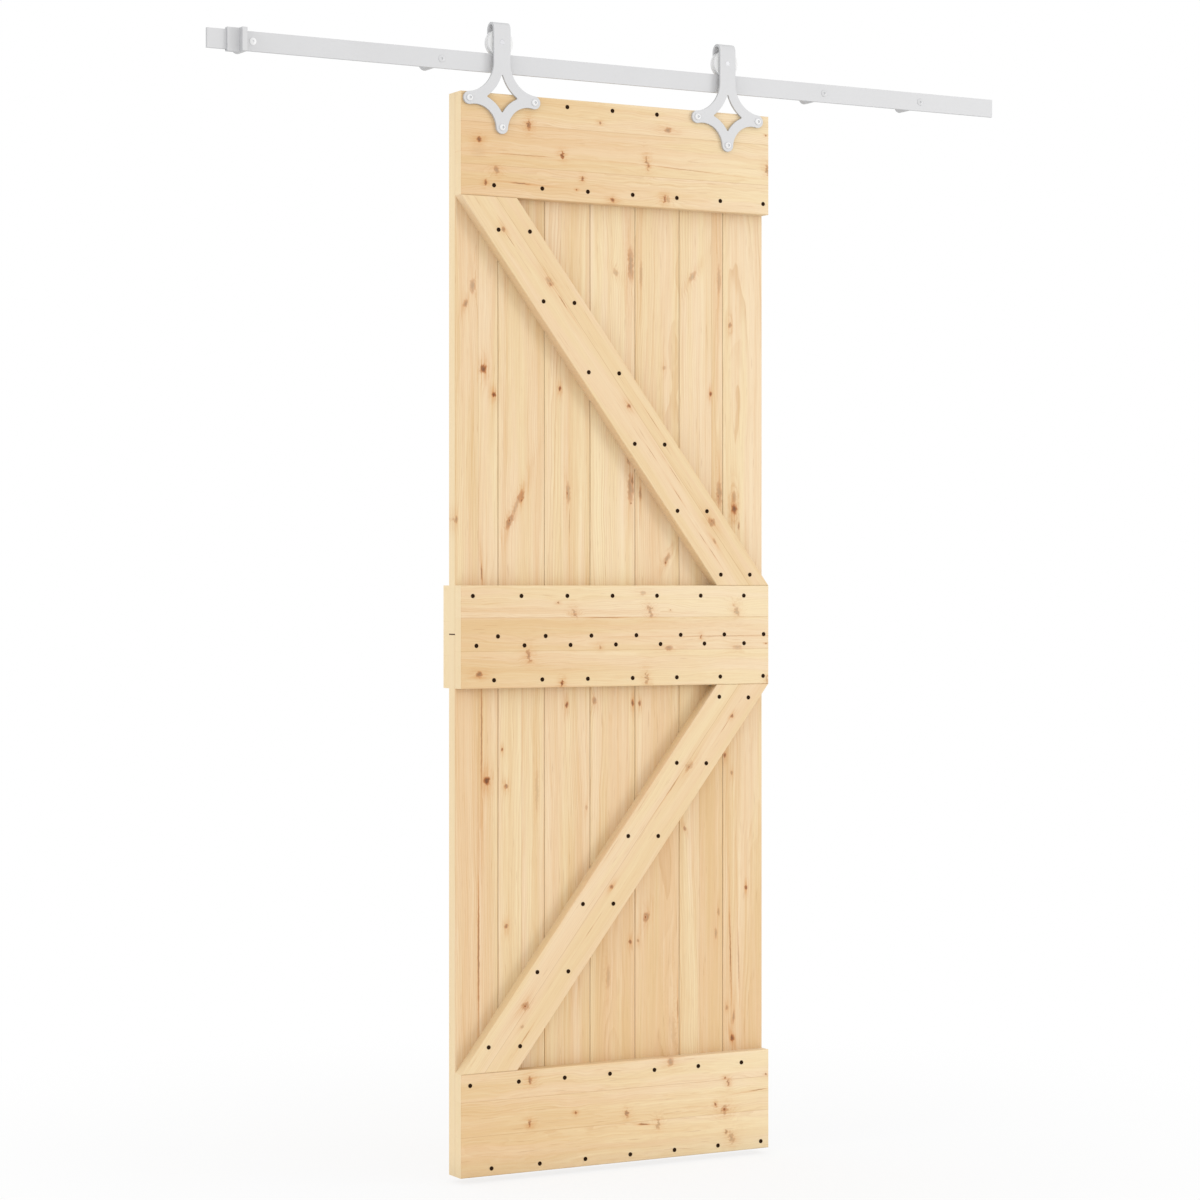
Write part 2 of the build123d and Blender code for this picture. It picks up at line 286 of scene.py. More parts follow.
    sideways = calc(tree, "ABSOLUTE", place_node(tree, "SeparateXYZ", (normal,)).outputs["X"])
    painted_side_light = calc(tree, "MULTIPLY", fade(tree, sideways, 0.85, 0.98), painted_side_light_share)
    colour = mix_colour(tree, painted_side_light, colour, sapwood)
    # Painted shade: a thin dark line where the upper and lower planks butt stands in for the shade in the gap
    # between their ends.
    shade_line_gap = calc(tree, "ABSOLUTE", calc(tree, "SUBTRACT", height, given["EndShade"]))
    colour = mix_colour(tree, fade(tree, shade_line_gap, shade_line_outer, shade_line_inner), colour, painted_gap_shade)
    streaked = calc(tree, "MULTIPLY", given["Halo"], fade(tree, fibre, 0.15, 0.75))
    colour = mix_colour(tree, streaked, colour, halo_tint)
    heart = calc(tree, "MULTIPLY_ADD", calc(tree, "SUBTRACT", thread, 0.5), 0.5, given["Heart"])
    knot_colour = mix_colour(tree, fade(tree, heart, 0.95, 0.1), knot_pale, knot_dark)
    colour = mix_colour(tree, given["Knot"], colour, knot_colour)
    # Painted shade: an ambient occlusion mask darkens the wood in nooks between boards and beside their
    # edges.
    openness = place_node(tree, "AmbientOcclusion", {"Distance": nook_reach}, samples=6).outputs["AO"]
    painted_nook_shade = calc(tree, "MULTIPLY_ADD", openness, nook_depth, 1 - nook_depth)
    painted_nook_shades = place_node(tree, "CombineXYZ", (painted_nook_shade, painted_nook_shade, painted_nook_shade)).outputs[0]
    colour = mix_colour(tree, 1.0, colour, painted_nook_shades, "MULTIPLY")

    rough = calc(tree, "MULTIPLY_ADD", fibre, 0.16, 0.5)
    rough = calc(tree, "MULTIPLY_ADD", given["Knot"], -0.14, rough)
    relief = calc(tree, "MULTIPLY_ADD", late, 0.5, calc(tree, "MULTIPLY", fibre, 0.5))
    relief = calc(tree, "MULTIPLY_ADD", thread, 0.3, relief)
    relief = calc(tree, "MULTIPLY_ADD", given["Line"], -0.8, relief)
    close_group(tree, {"Color": colour, "Roughness": rough, "Height": relief})
    return tree


knot_group = make_knot_group()
glue_group = make_glue_group()
pine_group = make_pine_group()
door_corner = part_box("bottom_rail")[0]
millimetre = 0.001


def finish_pine(name, grain, tone, seed, rings, wave, shade_slope=0.0, joints=(), knots=(), end_shade=9.0):
    """Gives one board its own pine.

    grain is the grain's angle from upright in degrees, turning right, rings how strongly the rings show,
    and wave how far the grain wanders in metres. The tone can slope along the grain, by a change per
    metre; this is painted shade that darkens the board towards one end. A joint is its place in mm from
    the board's middle line and the change of tone past it. A knot is its distance from the door's left
    edge and lower edge, its radius, all in mm, its stretch along the grain, its tilt in degrees and its
    darkness; a thin, long one is a resin streak. A thin dark line, painted as the shade in the gap at a
    plank's end, lies at a height given as a share of the board's half length; far past 1 there is none.
    """
    low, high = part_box(name)
    middle = (low + high) / 2
    turn = math.radians(grain)
    material = bpy.data.materials.new("pine_" + name)
    material.use_nodes = True
    tree = material.node_tree
    place = place_node(tree, "TexCoord").outputs["Object"]
    mapping = {"Vector": place, "Location": middle, "Rotation": (0, turn, 0)}
    board = place_node(tree, "Mapping", mapping, vector_type="TEXTURE").outputs[0]
    carried = {"Bend": 0.0, "Knot": 0.0, "Heart": 1.0, "Halo": 0.0}
    if knots:
        rough_edge = noise(tree, board, (170.0, 170.0, 110.0), 2.0).outputs["Color"]
        wobble = calc_vector(tree, "SUBTRACT", rough_edge, (0.5, 0.5, 0.5))
    for across, up, radius, stretch, tilt, dark in knots:
        x = door_corner.x + across * millimetre - middle.x
        z = door_corner.z + up * millimetre - middle.z
        centre = (x * math.cos(turn) - z * math.sin(turn), 0, x * math.sin(turn) + z * math.cos(turn))
        inputs = {"Board": board, "Wobble": wobble, "Centre": centre, "Radius": radius * millimetre}
        inputs |= {"Stretch": stretch, "Tilt": math.radians(tilt), "Dark": dark}
        knot = place_node(tree, "Group", inputs | carried, node_tree=knot_group)
        carried = {label: knot.outputs[label] for label in carried}
    glued = {"Strip": 0.0, "Line": 0.0, "Tone": tone}
    for joint, step in joints:
        inputs = {"Board": board, "Place": joint * millimetre, "Step": step}
        strip = place_node(tree, "Group", inputs | glued, node_tree=glue_group)
        glued = {label: strip.outputs[label] for label in glued}
    inputs = {"Board": board, "Seed": seed, "EndShade": end_shade * (high.z - low.z) / 2}
    inputs |= {"Rings": rings, "Wave": wave, "ShadeSlope": shade_slope}
    pine = place_node(tree, "Group", inputs | carried | glued, node_tree=pine_group)
    bump = place_node(tree, "Bump", {"Height": pine.outputs["Height"], "Strength": 0.3, "Distance": 0.0005})
    surface = tree.nodes["Principled BSDF"].inputs
    surface["Specular IOR Level"].default_value = 0.3
    tree.links.new(pine.outputs["Color"], surface["Base Color"])
    tree.links.new(pine.outputs["Roughness"], surface["Roughness"])
    tree.links.new(bump.outputs["Normal"], surface["Normal"])
    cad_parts[name].data.materials.clear()
    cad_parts[name].data.materials.append(material)


upper_planks = [
    dict(tone=0.48, seed=11.3, joints=[(0, -0.25)], knots=[
        (38, 1727, 6, 2.6, 0, 0.4), (22.7, 1692, 4.5, 1.7, -20, 0.5), (61.4, 1567, 7, 1.25, 0, 0.9),
        (84.5, 1517, 5, 1.0, 0, 0.95), (3, 1273, 3, 2.6, 0, 0.5), (57.5, 1170, 1.8, 10.0, 3, 0.6),
    ]),
    dict(tone=0.4, seed=23.1, knots=[
        (144, 1320, 6, 2.2, -22, 0.6), (145.5, 1312, 2.2, 1.8, -20, 0.8), (131, 1295, 4, 9.0, -23, 0.3),
        (119, 1270, 6.5, 2.6, -22, 0.55), (119, 1272, 2.2, 1.6, -20, 0.8),
    ]),
    dict(tone=0.36, seed=31.7, joints=[(-18, 0.05)], knots=[
        (230.5, 1533, 3.2, 1.7, 0, 0.9), (249, 1328, 5, 4.5, 0, 0.4), (247, 1327, 2, 2.0, 0, 0.7),
        (252, 1268, 1, 28.0, 0, 0.45),
    ]),
    dict(tone=0.3, seed=43.9, knots=[
        (391.5, 1787, 7, 5.0, 0, 0.45), (357, 1768, 6, 1.3, 35, 0.3), (391, 1340, 7, 4.4, 0, 0.45),
        (395, 1354, 3, 3.0, 0, 0.6), (392, 1309, 2.5, 1.0, 0, 0.6), (386, 1393, 3, 3.0, 12, 0.35),
        (344, 1468, 4, 1.0, 30, 0.55),
    ]),
    dict(tone=0.45, seed=57.2, knots=[
        (415, 1766, 3.5, 8.0, 0, 0.3), (413.5, 1329, 3, 5.0, 0, 0.45), (475, 1199, 5, 2.6, -30, 0.4),
        (471, 1191, 2.4, 1.2, 0, 0.8), (469, 1582, 4, 1.3, 0, 0.3),
    ]),
    dict(tone=0.34, seed=61.4, joints=[(21, 0.2)], knots=[
        (534, 1767, 6, 2.2, -35, 0.35), (597, 1765, 4, 8.0, 0, 0.3), (577, 1533, 3.4, 1.5, 0, 0.9),
        (598, 1331, 6, 4.6, 0, 0.4), (595.5, 1326, 2.4, 1.6, 0, 0.65),
    ]),
    dict(tone=0.2, seed=79.6, knots=[
        (623.6, 1674, 4, 1.4, 0, 0.5), (634, 1301, 7, 1.6, 0, 0.9), (633, 1325, 6, 2.0, 0, 0.35),
        (644.5, 1266, 2.3, 3.6, 0, 0.55),
    ]),
]
# Where a lower plank's tone slopes, it darkens towards the bottom, as painted shade.
lower_planks = [
    dict(tone=0.66, seed=83.2, joints=[(0, 0.2)], knots=[
        (69.5, 765, 7.5, 1.2, 0, 0.95), (57.5, 850, 1.6, 70.0, 0, 0.6), (51, 430, 1.8, 80.0, 0, 0.6),
    ]),
    dict(tone=0.4, seed=97.8, joints=[(-3, 0.16)], knots=[
        (102.7, 825, 2.6, 1.4, 0, 0.8), (111.4, 753, 4.5, 1.0, 0, 0.65), (111.4, 479, 4.5, 1.2, 0, 0.65),
        (179.5, 740, 4, 11.0, 0, 0.2),
    ]),
    dict(tone=0.66, seed=103.5, shade_slope=-0.3, knots=[
        (246, 909, 3.2, 2.2, 0, 0.85), (290, 705, 2.6, 2.0, 0, 0.3),
    ]),
    dict(tone=0.6, seed=113.3, shade_slope=-0.45, knots=[
        (308, 917, 6, 1.2, 0, 0.45), (396, 910, 3.2, 2.3, 0, 0.8), (390, 433, 3.6, 1.3, 0, 0.7),
        (340, 366, 5, 5.0, 0, 0.25), (304.5, 580, 3.2, 1.3, 20, 0.5),
    ]),
    dict(tone=0.86, seed=127.7, shade_slope=-0.4, knots=[
        (412, 909, 3.2, 1.8, 0, 0.7), (427, 481, 7, 1.6, -15, 0.5), (425.5, 481, 2.6, 1.3, 0, 0.85),
        (408, 435, 2.5, 1.5, 0, 0.45), (488, 250, 9, 5.0, 5, 0.06), (500, 293, 1.2, 18.0, 0, 0.5),
    ]),
    dict(tone=0.5, seed=131.9, joints=[(-7, 0.28)], knots=[
        (517, 655, 3.2, 1.6, 20, 0.55), (596.4, 483, 3, 3.0, 0, 0.35), (590, 440, 3.5, 3.5, 0, 0.35),
    ]),
    dict(tone=0.78, seed=149.1, shade_slope=-0.25, knots=[
        (610.5, 800, 3.8, 1.5, 0, 0.75), (628, 764, 3.2, 1.4, 0, 0.45), (662, 529.5, 3.6, 1.3, 0, 0.8),
        (628.6, 225, 4.5, 1.8, 15, 0.85), (632, 268, 3, 5.0, -5, 0.4), (616, 288, 3.2, 1.5, 0, 0.4),
        (624.5, 400, 1.4, 65.0, 1.5, 0.6), (644, 380, 1.3, 50.0, 1.5, 0.4),
    ]),
]
# The painted shade line lies at the upper planks' lower ends and the lower planks' upper ends.
for row, planks, end_shade in (("upper", upper_planks, -1), ("lower", lower_planks, 1)):
    for number, plank in enumerate(planks, start=1):
        finish_pine(f"{row}_plank_{number}", 0, rings=0.38, wave=0.008, end_shade=end_shade, **plank)

# Rails across the leaf
# Three pine boards cross the front of the planks and one crosses the back at the planks' joint.
# Each is glued up from strips, planed, rounded along its front edges and screwed on.
# Each front rail's tone slope darkens it towards the left, as painted shade.
rails = {
    "top_rail": dict(tone=0.52, seed=5.6, shade_slope=-1.1, joints=[(-42, 0.1), (40, 0.0)], knots=[
        (38.6, 2008, 6, 0.85, 0, 0.8), (38, 1984, 12, 1.6, 0, 0.08), (148, 2045, 11, 0.32, 6, 0.7),
        (77, 1951, 9.5, 0.55, 0, 0.45), (53.5, 1925.5, 5.5, 0.5, 0, 0.75), (222, 1989, 7.5, 0.5, 5, 0.9),
        (267, 1946, 5.5, 0.45, 0, 0.7), (253.6, 1924, 1.8, 1.0, 0, 0.85), (307, 2059, 3.5, 0.8, 0, 0.6),
        (462.5, 2055.5, 5.5, 1.6, 0, 0.5), (414, 1989, 15, 0.2, 10, 0.5), (417.5, 1981, 3.5, 0.8, 0, 0.6),
        (335, 1908, 4.5, 1.1, 0, 0.8), (454.5, 1917.5, 8.5, 0.45, 0, 0.7), (462, 1918, 7, 0.7, 0, 0.3),
        (696, 1992, 11.5, 0.37, 0, 0.5), (693, 2061, 2.2, 0.8, 0, 0.7), (129, 1928.5, 1.3, 18.0, -2, 0.6),
        (140, 1984, 0.9, 70.0, 0, 0.4), (505, 1979, 0.9, 80.0, -2.5, 0.35),
    ]),
    "middle_rail": dict(tone=0.18, seed=17.2, shade_slope=-1.0, joints=[(-37, 0.38), (28, -0.05)], knots=[
        (212.8, 1111, 2.2, 1.2, 0, 0.65), (249, 1092, 11, 0.36, 25, 0.4), (250, 1087, 3, 1.3, 0, 0.5),
        (420.7, 1096, 12.5, 0.33, 20, 0.42), (424, 1085, 4, 1.2, 0, 0.45), (623, 1094, 13.5, 0.36, 18, 0.35),
        (404.5, 1130, 4.5, 1.6, 0, 0.3), (39, 972.5, 6.5, 1.05, 0, 0.7), (147.6, 1007, 11.5, 0.42, 8, 0.55),
        (464.5, 1020, 5, 2.0, 0, 0.5), (307, 1023, 5, 0.55, 0, 0.45), (625, 1019.5, 5.5, 2.0, 0, 0.25),
        (221.5, 953, 7.2, 0.4, -12, 0.9), (413, 961, 14, 0.25, 6, 0.45), (539.2, 1042, 4.2, 0.42, 0, 0.75),
        (693, 1027, 1.8, 1.0, 0, 0.6), (695.5, 954.5, 8, 0.4, 0, 0.35), (468, 1096, 1.6, 1.0, 0, 0.5),
        (590, 1043, 0.8, 130.0, 0, 0.4), (320, 1081.5, 1, 40.0, 0, 0.5),
    ]),
    "bottom_rail": dict(tone=0.36, seed=29.4, shade_slope=-1.0, joints=[(-46, 0.1), (22, 0.0)], knots=[
        (150.5, 178.5, 9, 0.5, 8, 0.65), (150, 94.5, 7.5, 0.47, 0, 0.7), (252, 107, 3.6, 0.6, 0, 0.78),
        (368, 96.5, 8.5, 0.4, 0, 0.6), (406.5, 72, 1.8, 7.5, -5, 0.7), (440, 70.5, 11, 0.35, 0, 0.38),
        (467.5, 191.5, 8.5, 0.95, 0, 0.48), (573.5, 98, 5, 0.5, 15, 0.78), (595, 86, 12, 0.65, 0, 0.45),
        (594, 86, 4, 1.0, 0, 0.85), (596, 150, 2.8, 0.9, 0, 0.72), (604, 139, 8.5, 0.33, 13, 0.58),
        (598.5, 40, 5.2, 0.55, 0, 0.5), (610.5, 27, 13, 0.45, 12, 0.38), (693, 150, 3, 0.8, 0, 0.6),
        (675, 119.5, 1.1, 18.0, 4, 0.5),
    ]),
    "back_middle_rail": dict(tone=0.4, seed=41.8, joints=[(-30, 0.1), (36, 0.1)], knots=[
        (120, 1090, 7, 1.4, 0, 0.8), (330, 1010, 5, 1.2, 0, 0.8), (540, 1075, 8, 1.5, 0, 0.7),
    ]),
}
for name, rail in rails.items():
    finish_pine(name, 90, rings=0.28, wave=0.024, **rail)

# Braces
# Two slanting pine boards stiffen the leaf, each from one side of it to the other between two rails.
# Their ends are cut level to butt against the rails, so their grain runs with the slant.
brace_foot = 0.122
for name, falls_right, brace in (
    ("upper_brace", True, dict(tone=0.48, seed=53.3, joints=[(12, 0.1)], knots=[
        (92, 1837, 4.5, 1.2, 0, 0.55), (194, 1740, 7, 1.6, 0, 0.35), (196, 1735, 3, 1.6, 0, 0.6),
        (372, 1502, 4, 1.2, 0, 0.75), (565, 1273, 8, 1.2, 0, 0.5), (564, 1275, 3, 1.0, 0, 0.65),
        (571, 1234, 3, 2.4, 0, 0.4), (107, 1817, 0.8, 21.0, 0, 0.4), (223, 1702, 1.2, 13.0, 0, 0.5),
        (426, 1475.5, 0.7, 39.0, 0, 0.4), (424, 1410, 0.7, 30.0, 0, 0.4), (478, 1367, 0.8, 29.0, 0, 0.4),
        (485, 1326, 0.8, 21.0, 0, 0.4), (543, 1240, 0.8, 19.0, 0, 0.4), (566, 1211, 0.8, 17.0, 0, 0.4),
    ])),
    ("lower_brace", False, dict(tone=0.44, seed=67.1, joints=[(-8, 0.1)], knots=[
        (612, 881, 3.6, 1.2, 0, 0.75), (511.5, 782, 7, 1.8, 0, 0.35), (511, 780.5, 2.4, 1.6, 0, 0.55),
        (473, 743, 1.2, 20.0, 0, 0.4), (333.5, 548.5, 3.8, 1.2, 0, 0.65), (139.7, 324, 7.5, 1.2, 0, 0.5),
        (139.7, 324, 2.6, 1.0, 0, 0.9), (132.8, 285, 3.5, 1.2, 0, 0.35), (141, 265.5, 1, 16.0, 0, 0.4),
        (283.5, 463.5, 0.8, 18.0, 0, 0.35), (595, 860, 0.8, 20.0, 0, 0.35),
    ])),
):
    low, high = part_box(name)
    slant = math.degrees(math.atan2(high.x - low.x - brace_foot, high.z - low.z))
    finish_pine(name, -slant if falls_right else slant, rings=0.16, wave=0.012, **brace)

# Screws
# Black countersunk screws hold the rails and braces to the planks, in rows along the rails' edges,
# in two rows beside the planks' joint, and in pairs along the braces. Each head is dished, with a cross slot.


def turned_mesh(name, places, radii, rises):
    """Closed turned pieces about Y, one at each place.

    radii and rises are grids over the rows of the profile and the angle about Y: how far each point
    lies from the axis, and how far in front of the seat. The first and last rows meet in one point.
    """
    rows, sides = radii.shape
    angle = np.linspace(0, 2 * np.pi, sides, endpoint=False)
    grid = np.stack([radii * np.cos(angle), -rises, radii * np.sin(angle)], axis=-1)
    rings = grid[1:-1].reshape(-1, 3)
    one = np.concatenate([rings, grid[:1, :1].reshape(1, 3), grid[-1:, :1].reshape(1, 3)])
    points = (np.asarray(places)[:, None, :] + one[None]).reshape(-1, 3)
    ring = np.arange(rows - 2)[:, None] * sides
    step = np.arange(sides)[None, :]
    after = (step + 1) % sides
    index = ring + step
    beside = ring + after
    quads = np.stack([index[:-1], beside[:-1], beside[1:], index[1:]], axis=-1).reshape(-1, 4)
    front = np.stack([np.full(sides, len(rings)), after[0], step[0]], axis=1)
    back = np.stack([np.full(sides, len(rings) + 1), index[-1], beside[-1]], axis=1)
    first = np.arange(len(places))[:, None, None] * len(one)
    faces = (quads + first).reshape(-1, 4).tolist()
    faces += (np.concatenate([front, back]) + first).reshape(-1, 3).tolist()
    mesh = bpy.data.meshes.new(name)
    mesh.from_pydata(points.tolist(), [], faces)
    mesh.update()
    piece = bpy.data.objects.new(name, mesh)
    bpy.context.scene.collection.objects.link(piece)
    return piece


def soften(piece, degrees=35):
    """Shades a piece smoothly, apart from its sharp edges."""
    mesh = piece.data
    mesh.shade_smooth()
    mesh.set_sharp_from_angle(angle=math.radians(degrees))


def screw_head():
    """The head's grids: a dish from its rim to its middle, sunk further along the arms of a cross.

    An arm fades out with the distance from its middle line, and both end at the cross's reach.
    """
    radius = 4.2 * millimetre
    rim_rise = 0.5 * millimetre
    dish = 0.32 * millimetre
    cross_reach = 2.6 * millimetre
    arm_half = 0.55 * millimetre
    sunk = 0.4 * millimetre
    share = np.array([0, 0.12, 0.24, 0.36, 0.48, 0.6, 0.68, 0.78, 0.9, 0.97, 1.0, 1.0, 0.0])[:, None]
    angle = np.linspace(0, 2 * np.pi, 32, endpoint=False)[None, :]
    radii = share * radius + 0 * angle
    nearest = np.minimum(np.abs(radii * np.cos(angle)), np.abs(radii * np.sin(angle)))
    arms = np.exp(-((nearest / arm_half) ** 4)) * (radii < cross_reach)
    rises = rim_rise - dish * (1 - (share / 0.9) ** 4) - sunk * arms
    rises[-4:] = np.array([0.9, 0.6, -0.4, -0.4])[:, None] * rim_rise
    return radii, np.maximum(rises, np.where(share < 1, 0.05 * millimetre, -1))


def screw_rows():
    """Places of the screws, in mm from the leaf's left edge and lower edge or from a rail's lower edge."""
    edge_row = np.array([0, 106, 207.8, 309.6, 411.4, 513.2, 615])
    joint_row = np.array([0, 105, 207.3, 309.6, 411.9, 514.2, 607.8])
    rows = (
        ("top_rail", 185, 25.4 + edge_row[2:5]), ("top_rail", 21.4, 71.5 + edge_row),
        ("middle_rail", 179.5, 25.5 + edge_row), ("middle_rail", 16, 71.5 + edge_row),
        ("middle_rail", 101, 80 + joint_row), ("middle_rail", 83, 33.2 + joint_row),
        ("bottom_rail", 178.2, 19.7 + edge_row), ("bottom_rail", 14.5, 66 + edge_row),
    )
    places = []
    for name, up, across in rows:
        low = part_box(name)[0]
        places += [(low.x + x * millimetre, low.y, low.z + up * millimetre) for x in across]
    pair_half = 34.4
    pairs = (
        (115.8, 1835.7, 0), (214.8, 1700.8, 0), (315.8, 1565.5, 0), (420.3, 1426.6, 0), (518.8, 1294.5, 0),
        (620.4, 1166.9, 0), (616.8, 919, 1.3), (517.2, 788.2, 1.3), (405.3, 645.9, 1.3), (302.6, 515.9, 1.3),
        (201, 387.8, 1.3), (94.2, 248.3, 1.3),
    )
    brace_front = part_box("upper_brace")[0].y
    for across, up, drop in pairs:
        for aside in (-1, 1):
            x = door_corner.x + (across + aside * pair_half) * millimetre
            places.append((x, brace_front, door_corner.z + (up - aside * drop) * millimetre))
    return places


def screw_finish():
    """Black phosphate: nearly black, a little browner and duller where it is scuffed."""
    material = bpy.data.materials.new("black_screws")
    material.use_nodes = True
    tree = material.node_tree
    place = place_node(tree, "TexCoord").outputs["Object"]
    scuff = noise(tree, place, (900.0, 900.0, 900.0), 3.0).outputs["Fac"]
    colour = mix_colour(tree, fade(tree, scuff, 0.45, 0.75), shade(40, 24, 11), shade(60, 40, 22))
    surface = tree.nodes["Principled BSDF"].inputs
    surface["Specular IOR Level"].default_value = 0.04
    tree.links.new(colour, surface["Base Color"])
    tree.links.new(calc(tree, "MULTIPLY_ADD", scuff, 0.3, 0.4), surface["Roughness"])
    return material


screws = turned_mesh("screws", screw_rows(), *screw_head())
screws.data.materials.append(screw_finish())
soften(screws)
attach(screws, "door")

# Rail, spacers and end stop
# A flat steel bar on turned spacers carries the leaf, with a stop clamped over its left end.
# All are sprayed with a satin white powder coat, which dries with a fine orange-peel skin.


def make_coat_group():
    """Powder coat: a fine soft ripple, a finer grit, and faint cloudy changes of tone and gloss."""
    results = {"Color": "Color", "Roughness": "Float", "Height": "Float"}
    tree, given = open_group("powder coat", {"Base": "Color"}, results)
    place = place_node(tree, "TexCoord").outputs["Object"]
    ripple = noise(tree, place, (700.0, 700.0, 700.0), 1.0).outputs["Fac"]
    grit = noise(tree, place, (2600.0, 2600.0, 2600.0), 1.0).outputs["Fac"]
    cloud = noise(tree, place, (9.0, 9.0, 9.0), 3.0).outputs["Fac"]
    grey = calc(tree, "MULTIPLY_ADD", cloud, 0.06, calc(tree, "MULTIPLY_ADD", grit, 0.05, 0.945))
    greys = place_node(tree, "CombineXYZ", (grey, grey, grey)).outputs[0]
    close_group(tree, {
        "Color": mix_colour(tree, 1.0, given["Base"], greys, "MULTIPLY"),
        "Roughness": calc(tree, "MULTIPLY_ADD", cloud, 0.18, 0.34),
        "Height": calc(tree, "MULTIPLY_ADD", grit, 0.3, ripple),
    })
    return tree


coat_group = make_coat_group()


def coat(name, base, edge, bump_strength):
    """A coated finish with softened corners, of one colour on the broad faces and a darker one on the edges
    and sides, which is painted shade.
    """
    corner_radius = 0.7 * millimetre
    material = bpy.data.materials.new(name)
    material.use_nodes = True
    tree = material.node_tree
    rounded = place_node(tree, "Bevel", {"Radius": corner_radius}, samples=6).outputs["Normal"]
    facing = calc(tree, "ABSOLUTE", place_node(tree, "SeparateXYZ", (rounded,)).outputs["Y"])
    # Painted shade: faces that turn away from the front and back take the darker edge colour.
    tint_with_painted_side_shade = mix_colour(tree, fade(tree, facing, 0.2, 0.9), edge, base)
    skin = place_node(tree, "Group", {"Base": tint_with_painted_side_shade}, node_tree=coat_group).outputs
    inputs = {"Height": skin["Height"], "Strength": bump_strength, "Distance": 0.0002, "Normal": rounded}
    bump = place_node(tree, "Bump", inputs)
    surface = tree.nodes["Principled BSDF"].inputs
    tree.links.new(skin["Color"], surface["Base Color"])
    tree.links.new(skin["Roughness"], surface["Roughness"])
    tree.links.new(bump.outputs["Normal"], surface["Normal"])
    return material


def dress(names, material):
    """Gives these CAD nodes one finish."""
    for name in names:
        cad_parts[name].data.materials.clear()
        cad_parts[name].data.materials.append(material)


# The second colour is painted shade on the sides and edges.
white_steel = coat("white_steel", shade(218, 218, 219), shade(190, 191, 193), 0.25)
spacers = [f"spacer_{number}" for number in range(1, 5)]
dress(["rail", "end_stop", *spacers], white_steel)

# Wall bolts
# A low button-headed bolt goes through the rail and each spacer into the wall. Its head stays thin, so
# that the hangers' straps pass over it. The bolts are alike, but the first is given the brighter white
# finish, as a painted highlight. The rest hardly show, so they are coated as the rail is.


def hexagon(flats, sides):
    """Distance from a hexagon's middle to its edge, by the angle from a corner; flats is its width."""
    angle = np.linspace(0, 2 * np.pi, sides, endpoint=False)
    corner = np.pi / 3
    return flats / 2 / np.cos(angle % corner - corner / 2)


def bolt_grids(head_radius, head_rise, rim, socket, shank_radius, end, nut=None):
    """A button-headed bolt's grids: a hexagon socket, a dome, a shank and, where it has one, a nut.

    The dome is an arc from its crown to its rim. The socket's and the nut's rows follow hexagons.
    """
    sides = 48
    socket_depth = 0.6 * head_rise
    lip_width = 0.15 * millimetre
    end_chamfer = 0.6 * millimetre
    nut_chamfer = 0.53
    bulge = head_rise - rim
    ball = (head_radius**2 + bulge**2) / (2 * bulge)
    swing = np.linspace(0.52, 1.0, 8) * head_radius
    dome = rim + np.sqrt(ball**2 - swing**2) - (ball - bulge)
    key = hexagon(socket, sides)
    lip = rim + np.sqrt(ball**2 - (key + 0.1 * millimetre) ** 2) - (ball - bulge)
    flat = np.ones(sides)
    bottom = head_rise - socket_depth
    rows = [(0 * flat, bottom * flat), (key, bottom * flat), (key, lip - lip_width)]
    rows += [(key + lip_width, lip)]
    rows += [(radius * flat, rise * flat) for radius, rise in zip(swing, dome)]
    rows += [(head_radius * flat, 0 * flat), (shank_radius * flat, 0 * flat)]
    if nut:
        width, top, height = nut
        edge = hexagon(width, sides)
        chamfer = np.minimum(edge, nut_chamfer * width)
        rows += [(shank_radius * flat, -top * flat), (chamfer, -top * flat)]
        rows += [(edge, -(top + 0.1 * height) * flat), (edge, -(top + 0.9 * height) * flat)]
        rows += [(chamfer, -(top + height) * flat), (shank_radius * flat, -(top + height) * flat)]
    rows += [(shank_radius * flat, -(end - end_chamfer) * flat)]
    rows += [(shank_radius * flat - end_chamfer, -end * flat), (0 * flat, -end * flat)]
    return np.array([row[0] for row in rows]), np.array([row[1] for row in rows])


# The second colour is painted shade on the sides and edges.
white_bolts = coat("white_bolts", shade(246, 246, 246), shade(205, 206, 208), 0.1)
rail_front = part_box("rail")[0].y
wall_bolt_places = []
for spacer in spacers:
    low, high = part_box(spacer)
    wall_bolt_places.append(((low.x + high.x) / 2, rail_front, (low.z + high.z) / 2))
wall_bolt_form = bolt_grids(
    head_radius=7 * millimetre, head_rise=1.9 * millimetre, rim=0.5 * millimetre, socket=4 * millimetre,
    shank_radius=4.2 * millimetre, end=-rail_front,
)
# The first bolt's brighter white finish is a painted highlight.
for name, places, finish, slot in (
    ("first_wall_bolt", wall_bolt_places[:1], white_bolts, "white_bolts"),
    ("wall_bolts", wall_bolt_places[1:], white_steel, "white_steel"),
):
    wall_bolts = turned_mesh(name, places, *wall_bolt_form)
    wall_bolts.data.materials.append(finish)
    soften(wall_bolts)
    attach(wall_bolts, "track")

